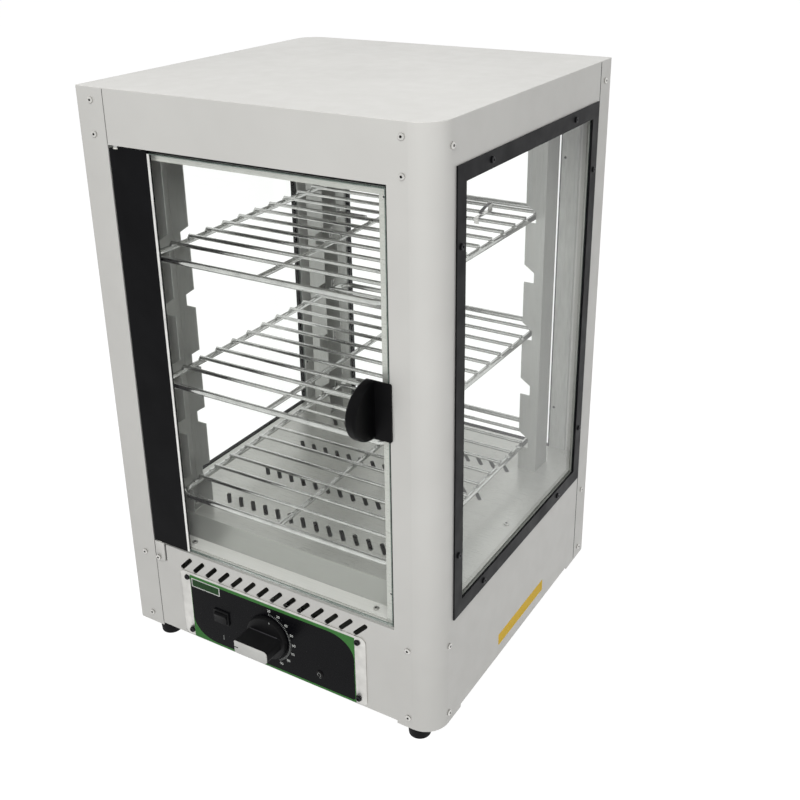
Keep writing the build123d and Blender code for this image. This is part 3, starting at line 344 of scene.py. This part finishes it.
NODE_FINISH = {
    case_steel: ("front_right_wrap", "rear_left_wrap", "roof_panel", "lower_hinge_bracket"),
    inner_steel: ("ceiling_panel", "chamber_floor", "base_pan", "door_stop"),
    channel_steel: (
        "left_front_upright",
        "left_rear_upright",
        "right_front_upright",
        "right_rear_upright",
        "front_element_support",
        "rear_element_support",
    ),
    strip_steel: ("right_window_retainer", "left_window_retainer", "rear_window_retainer"),
    frame_black: ("right_window_frame", "left_window_frame", "rear_window_frame"),
    stile_black: ("door_stile",),
    rubber_black: ("window_gaskets", "feet"),
    screw_black: ("window_screws", "control_plate_screws", "handle_screws"),
    screw_bright: ("case_screws", "inner_screws", "rack_clip"),
    chrome: ("top_rack", "middle_rack", "bottom_rack"),
    bead_bright: ("door_glazing_bead",),
    nylon: ("lower_pivot_bush", "upper_pivot_bush"),
    magnet_metal: ("door_magnet",),
    plastic_black: (
        "door_handle",
        "handle_backplate",
        "cord_gland",
        "terminal_block",
    ),
    rocker_black: ("rocker_switch_body", "rocker_key"),
    knob_black: ("thermostat_knob",),
    plate_bright: ("control_plate",),
    ink_green: ("control_overlay",),
    insert_pale: ("knob_insert",),
    brass: ("thermostat_nut",),
    shaft_metal: (
        "thermostat_shaft",
        "thermostat_body",
        "lower_pivot_pin",
        "upper_pivot_pin",
        "thermostat_bulb",
        "bulb_clip",
    ),
    lens: ("indicator_lamp",),
    sheath: ("heating_element",),
}


def dress(piece, material):
    piece.data.materials.clear()
    piece.data.materials.append(material)


for material, names in NODE_FINISH.items():
    for name in names:
        dress(nodes[name], material)


# Mesh building

def mesh_piece(name, bm, material, body, smooth=40):
    """Turn a bmesh into a piece that rides on a body; edges under smooth degrees shade softly."""
    bmesh.ops.recalc_face_normals(bm, faces=bm.faces)
    mesh = bpy.data.meshes.new(name)
    bm.to_mesh(mesh)
    bm.free()
    piece = bpy.data.objects.new(name, mesh)
    bpy.context.scene.collection.objects.link(piece)
    materials = material if isinstance(material, (list, tuple)) else [material]
    for entry in materials:
        mesh.materials.append(entry)
    shade(piece, smooth)
    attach(piece, body)
    return piece


def shade(piece, degrees):
    """Smooth shading, with edges sharper than the angle kept hard."""
    mesh = piece.data
    for face in mesh.polygons:
        face.use_smooth = True
    mesh.set_sharp_from_angle(angle=math.radians(degrees))


def softened(node, radius, body, segments=2):
    """Copy of a CAD node with its hard edges rolled over, as bent and moulded pieces have."""
    source = nodes[node]
    hard_angle = math.radians(35)
    bm = bmesh.new()
    bm.from_mesh(source.data)
    bmesh.ops.remove_doubles(bm, verts=bm.verts, dist=WELD)
    bmesh.ops.dissolve_limit(bm, angle_limit=math.radians(1), verts=bm.verts, edges=bm.edges)
    hard = [
        edge
        for edge in bm.edges
        if len(edge.link_faces) == 2 and edge.calc_face_angle(0) > hard_angle
    ]
    bmesh.ops.bevel(
        bm,
        geom=hard,
        offset=radius,
        segments=segments,
        profile=0.5,
        affect="EDGES",
        clamp_overlap=True,
    )
    bmesh.ops.dissolve_degenerate(bm, dist=SLIVER, edges=bm.edges)
    bmesh.ops.triangulate(bm, faces=[face for face in bm.faces if len(face.verts) > 4])
    piece = mesh_piece(node + "_rolled", bm, source.data.materials[0], body)
    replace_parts(piece, node)


def add_block(bm, low, high):
    """Box between two corners; returns its vertices."""
    centre = [(a + b) / 2 for a, b in zip(low, high)]
    size = [b - a for a, b in zip(low, high)]
    matrix = Matrix.Translation(centre) @ Matrix.Diagonal((*size, 1))
    return bmesh.ops.create_cube(bm, size=1, matrix=matrix)["verts"]


def rolled_block(low, high, radius, segments=2):
    """Bmesh of a box whose edges are rolled."""
    bm = bmesh.new()
    add_block(bm, low, high)
    bmesh.ops.bevel(
        bm, geom=bm.edges[:], offset=radius, segments=segments, profile=0.5, affect="EDGES"
    )
    return bm


def block_piece(name, low, high, radius, material, body):
    """Small block with rolled edges, between two corners given in millimetres."""
    bm = rolled_block([v * MM for v in low], [v * MM for v in high], radius * MM)
    mesh_piece(name, bm, material, body, 60)


# Glass panes

pane_chamfer = 0.6 * MM


def pane(node, body, thin_axis):
    """Pane with ground and polished edges in place of the CAD sheet of glass."""
    low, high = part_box(node)
    bm = rolled_block(low, high, pane_chamfer, 1)
    piece = mesh_piece(node + "_pane", bm, [glass, rim_glass], body, 10)
    for face in piece.data.polygons:
        if abs(face.normal[thin_axis]) < 0.9:
            face.material_index = 1
    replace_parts(piece, node)


pane("door_glass", "door", 1)
pane("rear_window_glass", "cabinet", 1)
pane("right_window_glass", "cabinet", 0)
pane("left_window_glass", "cabinet", 0)


# Printed film of the control panel

film_low, film_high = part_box("control_overlay")
film_face = film_low.y
ink_thick = 0.05 * MM


def flat_print(name, outline, material, layer=1):
    """Ink in the shape of an outline of (x, z) points, on the film's face."""
    bm = bmesh.new()
    back = film_face - (layer - 1) * ink_thick
    verts = [bm.verts.new((x, back, z)) for x, z in outline]
    face = bm.faces.new(verts)
    grown = bmesh.ops.extrude_face_region(bm, geom=[face])["geom"]
    moved = [item for item in grown if isinstance(item, bmesh.types.BMVert)]
    bmesh.ops.translate(bm, verts=moved, vec=(0, -ink_thick, 0))
    mesh_piece(name, bm, material, "cabinet", 20)


def corner_arc(centre_x, centre_z, radius_x, radius_z, start, end, steps=12):
    """Points of an elliptic corner, from start to end degrees."""
    angles = [math.radians(start + (end - start) * step / steps) for step in range(steps + 1)]
    return [
        (centre_x + radius_x * math.cos(angle), centre_z + radius_z * math.sin(angle))
        for angle in angles
    ]


def printed_field():
    """Black field with two large rounded corners over the green film."""
    side_edge, lower_edge, upper_edge = 0.6 * MM, 2.4 * MM, 3.5 * MM
    left, right = film_low.x + side_edge, film_high.x - side_edge
    low, high = film_low.z + lower_edge, film_high.z - upper_edge
    wide, tall = 30 * MM, 24 * MM
    lower_right, upper_left = 3 * MM, 2 * MM
    points = corner_arc(left + wide, low + tall, wide, tall, 180, 270)
    points += corner_arc(
        right - lower_right, low + lower_right, lower_right, lower_right, 270, 360, 4
    )
    points += corner_arc(right - wide, high - tall, wide, tall, 0, 90)
    points += corner_arc(left + upper_left, high - upper_left, upper_left, upper_left, 90, 180, 4)
    flat_print("print_field", points, ink_black)


def rectangle(left, right, low, high):
    return [(left, low), (right, low), (right, high), (left, high)]


def printed_label():
    """Outlined green rectangle at the panel's upper left."""
    left, right, low, high = -106 * MM, -68 * MM, 88.6 * MM, 99.2 * MM
    line = 1.1 * MM
    flat_print("print_label_border", rectangle(left, right, low, high), ink_white, 2)
    inner = rectangle(left + line, right - line, low + line, high - line)
    flat_print("print_label", inner, ink_deep_green, 3)


knob_x, knob_z = -6.5, 62.4
dial_x, dial_z = knob_x * MM, knob_z * MM
dial_numbers = ("20", "30", "40", "50", "60", "70", "80", "90")
number_radius = 32.4 * MM
number_height = 4.2 * MM
stroke_gain = 0.012
tick_inner = 26.9 * MM
tick_outer = 29.0 * MM
long_tick = 29.6 * MM
dial_start = 5
dial_step = 21
ticks_between = 6


def dial_point(degrees, radius):
    """Point on the dial; degrees run clockwise from twelve o'clock."""
    angle = math.radians(degrees)
    return dial_x + radius * math.sin(angle), dial_z + radius * math.cos(angle)


def dial_ticks():
    """Fine ticks beside the knob, longer ones at the numbers."""
    bm = bmesh.new()
    half = 0.27 * MM
    count = ticks_between * (len(dial_numbers) - 1)
    for index in range(count + 1):
        degrees = dial_start + dial_step * index / ticks_between
        outer = long_tick if index % ticks_between == 0 else tick_outer
        first = Vector(dial_point(degrees, tick_inner))
        last = Vector(dial_point(degrees, outer))
        along = (last - first).normalized()
        across = Vector((-along.y, along.x)) * half
        corners = (first - across, first + across, last + across, last - across)
        front = [bm.verts.new((p.x, film_face - 2 * ink_thick, p.y)) for p in corners]
        rear = [bm.verts.new((p.x, film_face - ink_thick, p.y)) for p in corners]
        bm.faces.new(front)
        bm.faces.new(rear[::-1])
        for i in range(4):
            bm.faces.new((front[i], rear[i], rear[(i + 1) % 4], front[(i + 1) % 4]))
    mesh_piece("print_ticks", bm, ink_grey, "cabinet", 20)


def lettering(name, text, x, z, height, material):
    """Plain characters on the film, centred at x and z."""
    curve = bpy.data.curves.new(name, "FONT")
    curve.body = text
    curve.size = height
    curve.align_x = "CENTER"
    curve.align_y = "CENTER"
    curve.extrude = ink_thick / 2
    curve.offset = height * stroke_gain
    flat = bpy.data.objects.new(name, curve)
    mesh = bpy.data.meshes.new_from_object(flat)
    bpy.data.objects.remove(flat)
    turn = Matrix.Rotation(math.radians(90), 4, "X")
    place = Matrix.Translation((x, film_face - 1.5 * ink_thick, z))
    mesh.transform(place @ turn)
    piece = bpy.data.objects.new(name, mesh)
    bpy.context.scene.collection.objects.link(piece)
    dress(piece, material)
    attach(piece, "cabinet")


def swept(rows):
    """Bmesh of a bar that joins rows of four corners, closed at both ends."""
    bm = bmesh.new()
    rings = [[bm.verts.new(corner) for corner in row] for row in rows]
    for a, b in zip(rings, rings[1:]):
        for i in range(4):
            bm.faces.new((a[i], a[(i + 1) % 4], b[(i + 1) % 4], b[i]))
    bm.faces.new(rings[0])
    bm.faces.new(rings[-1][::-1])
    return bm


def highlight_arc(name, x, z, radius, line, material, back_y, start, end):
    """Thin arc of light ink on a face at back_y that paints a highlight; degrees run clockwise
    from twelve o'clock.
    """
    steps = 40
    front_y = back_y - ink_thick
    outer = radius + line
    corners = ((radius, front_y), (outer, front_y), (outer, back_y), (radius, back_y))
    rows = []
    for step in range(steps + 1):
        angle = math.radians(start + (end - start) * step / steps)
        rows.append([(x + r * math.sin(angle), y, z + r * math.cos(angle)) for r, y in corners])
    mesh_piece(name, swept(rows), material, "cabinet", 30)


def stroke_print(name, x, z, half_wide, half_tall):
    """Small upright or level stroke of grey ink on the black field."""
    outline = rectangle(x - half_wide, x + half_wide, z - half_tall, z + half_tall)
    flat_print(name, outline, ink_grey, 2)


printed_field()
printed_label()
dial_ticks()
for index, number in enumerate(dial_numbers):
    number_x, number_z = dial_point(dial_start + index * dial_step, number_radius)
    lettering(f"print_number_{number}", number, number_x, number_z, number_height, ink_white)

rocker_centre_x = -67.5 * MM
switch_mark_z = 36.5 * MM
stroke_print("print_switch_mark", rocker_centre_x, switch_mark_z, 0.4 * MM, 3 * MM)

lamp_x, lamp_z = 57 * MM, 40.8 * MM
lens_highlight_radius, lens_highlight_width = 1.8 * MM, 0.5 * MM
lamp_foot_drop = 4.8 * MM
lens_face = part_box("indicator_lamp")[0].y
# A light grey arc on the lamp's lens: a painted highlight.
highlight_arc("lens_highlight_ring", lamp_x, lamp_z, lens_highlight_radius, lens_highlight_width, ink_grey, lens_face, -150, 150)
stroke_print("print_lamp_foot", lamp_x, lamp_z - lamp_foot_drop, 0.8 * MM, 0.5 * MM)


# Plain strip on the right wall

def side_strip():
    """Plain yellow strip on the lower right wall."""
    wall_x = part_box("front_right_wrap")[1].x
    thick, corner = 0.12 * MM, 1.0 * MM
    low = (wall_x, -50 * MM, 34.5 * MM)
    high = (wall_x + thick, 62 * MM, 48.0 * MM)
    bm = bmesh.new()
    add_block(bm, low, high)
    upright = [edge for edge in bm.edges if abs((edge.verts[0].co - edge.verts[1].co).x) > 1e-6]
    bmesh.ops.bevel(bm, geom=upright, offset=corner, segments=4, profile=0.5, affect="EDGES")
    mesh_piece("side_strip", bm, film_yellow, "cabinet", 30)


side_strip()


# Rolled edges of moulded and bent pieces

softened("thermostat_knob", 0.7 * MM, "knob")
softened("knob_insert", 0.3 * MM, "knob")
softened("door_handle", 1.1 * MM, "door", 3)
softened("handle_backplate", 0.4 * MM, "door")
softened("rocker_key", 0.5 * MM, "rocker")
softened("lower_hinge_bracket", 0.25 * MM, "cabinet", 1)
softened("control_plate", 0.25 * MM, "cabinet", 1)


# Knob: lighter grey fillets at the foot of its bar that paint a highlight there, a notch on the
# insert and a tick on the skirt

skirt_y = -192.0
insert_y = -216.6
bar_half = 7.0


def knob_detail(name, x, y, z, radius, material):
    """Small block on the knob between two x, two y and two z values in millimetres."""
    low, high = zip(x, y, z)
    block_piece(name, low, high, radius, material, "knob")


# The fillets are lighter grey than the knob: a painted highlight along the foot of the bar.
for side, name in ((1, "knob_root_highlight_upper"), (-1, "knob_root_highlight_lower")):
    root_z = knob_z + side * bar_half
    knob_detail(
        name,
        (knob_x - 19.5, knob_x + 16),
        (skirt_y - 0.7, skirt_y + 0.3),
        (root_z - 0.5, root_z + 0.5),
        0.4,
        knob_painted_highlight,
    )
knob_detail(
    "knob_pointer",
    (knob_x - 20.3, knob_x - 15.5),
    (insert_y - 0.12, insert_y + 0.1),
    (knob_z - 0.6, knob_z + 0.6),
    0.08,
    knob_black,
)
knob_detail(
    "knob_skirt_tick",
    (-0.6, 0.6),
    (skirt_y - 0.2, skirt_y + 0.2),
    (knob_z + 20.8, knob_z + 23),
    0.12,
    ink_grey,
)


# Seals round the door's opening, and black strips in the case's seams that paint the shade of
# their gaps

seal_front, seal_back = -184.3, -179.1
seam_left, seam_right = -155.95, -155.15
seam_front, seam_back = -184.7, -184.02
seam_foot, seam_head = 21.5, 608.9
for name, low, high, radius in (
    ("door_seal_side", (143.75, seal_front, 131), (144.95, seal_back, 557.9), 0.15),
    ("door_seal_top", (-104, seal_front, 556.2), (144.0, seal_back, 557.95), 0.15),
    # The three seam strips are painted shade: black rubber laid in the seams, where the dark is
    # only the gap's shade.
    ("front_seam_painted_shade_low", (seam_left, seam_front, seam_foot), (seam_right, seam_back, 127.2), 0.1),
    ("front_seam_painted_shade_high", (seam_left, seam_front, 559.2), (seam_right, seam_back, seam_head), 0.1),
    ("side_seam_painted_shade", (189.4, 154.75, seam_foot), (190.05, 156.15, seam_head), 0.1),
):
    block_piece(name, low, high, radius, rubber_black, "cabinet")


# Racks: weld beads where the wires cross

cross_first, cross_step, cross_total = -135.5, 26.5, 11
side_wire_x, spine_x = 134.0, -4.0
side_bead, spine_bead = 3.1, 2.5
bead_depth, bead_height, bead_drop = 2.7, 1.5, 3.9


def weld_beads(rack, body):
    """Small flattened beads between each cross wire and the wires that carry it."""
    bead_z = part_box(rack)[1].z - bead_drop * MM
    bm = bmesh.new()
    for index in range(cross_total):
        y = (cross_first + index * cross_step) * MM
        for x, size in (
            (side_wire_x, side_bead),
            (-side_wire_x, side_bead),
            (spine_x, spine_bead),
        ):
            shape = Matrix.Diagonal((size * MM, bead_depth * MM, bead_height * MM, 1))
            matrix = Matrix.Translation((x * MM, y, bead_z)) @ shape
            bmesh.ops.create_icosphere(bm, subdivisions=2, radius=1, matrix=matrix)
    mesh_piece(rack + "_welds", bm, chrome, body, 70)


weld_beads("top_rack", "upper_shelf")
weld_beads("middle_rack", "centre_shelf")
weld_beads("bottom_rack", "lower_shelf")


# Painted shade in the sockets of the case's screws

def islands(bm):
    """Groups of joined vertices of a bmesh."""
    left = set(bm.verts)
    while left:
        start = left.pop()
        group, border = [start], [start]
        while border:
            for edge in border.pop().link_edges:
                for vert in edge.verts:
                    if vert in left:
                        left.remove(vert)
                        group.append(vert)
                        border.append(vert)
        yield group


def sockets_painted_shade(node):
    """Copy of a node of screws in which the hexagon sockets are painted dark as shade."""
    head_radius, socket_radius = 3 * MM, 1.33 * MM
    bm = bmesh.new()
    bm.from_mesh(nodes[node].data)
    bmesh.ops.remove_doubles(bm, verts=bm.verts, dist=WELD)
    for group in islands(bm):
        low = [min(vert.co[i] for vert in group) for i in range(3)]
        high = [max(vert.co[i] for vert in group) for i in range(3)]
        along = max(range(3), key=lambda i: abs(high[i] - low[i] - 2 * head_radius))
        across = [i for i in range(3) if i != along]
        for face in {face for vert in group for face in vert.link_faces}:
            centre = face.calc_center_median()
            offsets = [centre[i] - (low[i] + high[i]) / 2 for i in across]
            if math.hypot(*offsets) < socket_radius:
                face.material_index = 1
    finishes = [nodes[node].data.materials[0], socket_painted_shade]
    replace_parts(mesh_piece(node + "_socket_shaded", bm, finishes, "cabinet", 30), node)


sockets_painted_shade("case_screws")
sockets_painted_shade("inner_screws")


# Spring leaf of the rack clip

def clip_leaf():
    """Spring leaf of the rack clip: from its raised tab it bends forward and curls under."""
    low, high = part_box("rack_clip")
    left, right = low.x + 0.6 * MM, high.x - 0.6 * MM
    top, rear, level = high.z, high.y, high.z - 8.2 * MM
    path = [
        (rear - 0.4 * MM, top - 0.4 * MM),
        (rear - 4 * MM, top - 0.6 * MM),
        (rear - 12 * MM, top - 2.0 * MM),
        (rear - 20 * MM, top - 4.2 * MM),
        (rear - 23 * MM, top - 5.8 * MM),
        (rear - 22.4 * MM, level + 1.4 * MM),
        (rear - 19 * MM, level + 0.9 * MM),
    ]
    thick = 0.5 * MM
    rows = []
    for index, (y, z) in enumerate(path):
        before = path[max(index - 1, 0)]
        after = path[min(index + 1, len(path) - 1)]
        along = Vector((after[0] - before[0], after[1] - before[1])).normalized()
        normal = Vector((-along.y, along.x)) * thick / 2
        rows.append(
            (
                (left, y + normal.x, z + normal.y),
                (right, y + normal.x, z + normal.y),
                (right, y - normal.x, z - normal.y),
                (left, y - normal.x, z - normal.y),
            )
        )
    bm = swept(rows)
    mesh_piece("rack_clip_leaf", bm, screw_black, "upper_shelf", 50)


clip_leaf()


# Small screws of the door stop

def stop_screw(name, x, z):
    """Low screw head on the door stop, with its socket painted as a black disc of shade."""
    face_y = -179.0 * MM
    turn = Matrix.Rotation(math.radians(90), 4, "X")
    for part, radius, tip, height, material in (
        ("head", 2.3, 1.7, 0.5, screw_bright),
        # The socket is painted shade: a black disc on the bright head.
        ("socket", 0.9, 0.9, 0.56, screw_black),
    ):
        bm = bmesh.new()
        matrix = Matrix.Translation((x * MM, face_y - height / 2 * MM, z * MM)) @ turn
        bmesh.ops.create_cone(
            bm,
            cap_ends=True,
            segments=24,
            radius1=radius * MM,
            radius2=tip * MM,
            depth=height * MM,
            matrix=matrix,
        )
        mesh_piece(f"{name}_{part}", bm, material, "cabinet", 30)


stop_screw_x = 139.8
stop_screw("stop_screw_high", stop_screw_x, 546.5)
stop_screw("stop_screw_low", stop_screw_x, 165)


# Chamber floor, with light painted on its sill and shade painted on its apron

def floor_with_painted_light():
    """Chamber floor with painted light on its front sill and painted shade on its apron, each a
    lighter or darker copy of its sheet.
    """
    source = nodes["chamber_floor"]
    bm = bmesh.new()
    bm.from_mesh(source.data)
    finishes = [source.data.materials[0], apron_painted_shade, sill_painted_light]
    piece = mesh_piece("chamber_floor_painted_light", bm, finishes, "cabinet", 30)
    sill_top = 131 * MM
    for face in piece.data.polygons:
        # Faces that slope forward and up take the painted shade; low level faces take the painted
        # light.
        if face.normal.y < -0.2 and face.normal.z > 0.2:
            face.material_index = 1
        elif face.normal.z > 0.9 and face.center.z < sill_top:
            face.material_index = 2
    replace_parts(piece, "chamber_floor")


floor_with_painted_light()


# Floor, backdrop light and lamps

def see_white(tree):
    """Socket that is 1 for rays that show the surroundings: sight, gloss and glass."""
    path = tree.nodes.new("ShaderNodeLightPath")
    seen = path.outputs["Is Camera Ray"]
    for name in ("Is Glossy Ray", "Is Transmission Ray"):
        add = tree.nodes.new("ShaderNodeMath")
        add.operation = "MAXIMUM"
        tree.links.new(seen, add.inputs[0])
        tree.links.new(path.outputs[name], add.inputs[1])
        seen = add.outputs[0]
    return seen


def surroundings():
    """White to look at, dimmer as a light."""
    light_strength = 0.28
    world = bpy.data.worlds.new("studio")
    bpy.context.scene.world = world
    world.use_nodes = True
    tree = world.node_tree
    background = tree.nodes["Background"]
    light = tree.nodes.new("ShaderNodeBackground")
    light.inputs["Color"].default_value = (1, 1, 1, 1)
    light.inputs["Strength"].default_value = light_strength
    background.inputs["Color"].default_value = (1, 1, 1, 1)
    background.inputs["Strength"].default_value = 1.0
    mix = tree.nodes.new("ShaderNodeMixShader")
    tree.links.new(see_white(tree), mix.inputs[0])
    tree.links.new(light.outputs[0], mix.inputs[1])
    tree.links.new(background.outputs[0], mix.inputs[2])
    tree.links.new(mix.outputs[0], tree.nodes["World Output"].inputs["Surface"])


def studio_floor():
    """Plain white floor that keeps a soft shadow."""
    half = 60.0
    paint = (0.42, 0.42, 0.42, 1)
    glow_strength, glow_share = 1.73, 0.55
    bm = bmesh.new()
    corners = ((-half, -half), (half, -half), (half, half), (-half, half))
    bm.faces.new([bm.verts.new((x, y, 0)) for x, y in corners])
    mesh = bpy.data.meshes.new("studio_floor")
    bm.to_mesh(mesh)
    bm.free()
    floor = bpy.data.objects.new("studio_floor", mesh)
    bpy.context.scene.collection.objects.link(floor)
    material = bpy.data.materials.new("studio_floor")
    material.use_nodes = True
    tree = material.node_tree
    shader = tree.nodes["Principled BSDF"]
    shader.inputs["Base Color"].default_value = paint
    shader.inputs["Roughness"].default_value = 0.9
    shader.inputs["Specular IOR Level"].default_value = 0.0
    glow = tree.nodes.new("ShaderNodeEmission")
    glow.inputs["Strength"].default_value = glow_strength
    share = tree.nodes.new("ShaderNodeMath")
    share.operation = "MULTIPLY"
    share.inputs[1].default_value = glow_share
    mix = tree.nodes.new("ShaderNodeMixShader")
    tree.links.new(see_white(tree), share.inputs[0])
    tree.links.new(share.outputs[0], mix.inputs[0])
    tree.links.new(shader.outputs[0], mix.inputs[1])
    tree.links.new(glow.outputs[0], mix.inputs[2])
    tree.links.new(mix.outputs[0], tree.nodes["Material Output"].inputs["Surface"])
    mesh.materials.append(material)
    floor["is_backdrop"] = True


def lamp(name, place, target, size, power):
    """Soft rectangular lamp that points at a target."""
    data = bpy.data.lights.new(name, "AREA")
    data.shape = "RECTANGLE"
    data.size, data.size_y = size
    data.energy = power
    light = bpy.data.objects.new(name, data)
    light.location = place
    direction = Vector(target) - Vector(place)
    light.rotation_euler = direction.to_track_quat("-Z", "Y").to_euler()
    light.visible_camera = False
    light.visible_glossy = False
    light.visible_transmission = False
    bpy.context.scene.collection.objects.link(light)


surroundings()
studio_floor()
lamp("key", (0.75, -1.45, 1.65), (0.05, 0, 0.45), (0.9, 0.9), 32)
lamp("top", (-0.3, 0.3, 2.3), (0, 0, 0.3), (1.8, 1.8), 13)


# Camera, solved from the straight edges of the cabinet in the photograph

image_side = 800
focal_px = 1077.429
centre_px = (400.0, 330.0)
camera_turn = 0.54381
camera_tilt = 0.39505
camera_roll = -0.01367
camera_place = Vector((0.58072, -0.88745, 0.77879))


def make_camera():
    """Camera at the photograph's viewing angle."""
    level = math.cos(camera_tilt)
    forward = Vector(
        (-math.sin(camera_turn) * level, math.cos(camera_turn) * level, -math.sin(camera_tilt))
    )
    flat_right = Vector((math.cos(camera_turn), math.sin(camera_turn), 0))
    flat_up = flat_right.cross(forward)
    right = flat_right * math.cos(camera_roll) + flat_up * math.sin(camera_roll)
    up = flat_up * math.cos(camera_roll) - flat_right * math.sin(camera_roll)
    data = bpy.data.cameras.new("camera")
    data.sensor_width = 36.0
    data.lens = focal_px / image_side * data.sensor_width
    data.shift_x = (image_side / 2 - centre_px[0]) / image_side
    data.shift_y = (centre_px[1] - image_side / 2) / image_side
    camera = bpy.data.objects.new("camera", data)
    turn = Matrix((right, up, -forward)).transposed().to_4x4()
    camera.matrix_world = Matrix.Translation(camera_place) @ turn
    bpy.context.scene.collection.objects.link(camera)
    bpy.context.scene.camera = camera


make_camera()
bpy.context.scene.view_settings.view_transform = "Standard"

boxes = {"cad": cad_box, "visual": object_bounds()}
plain = {key: [[float(v) for v in corner] for corner in box] for key, box in boxes.items()}
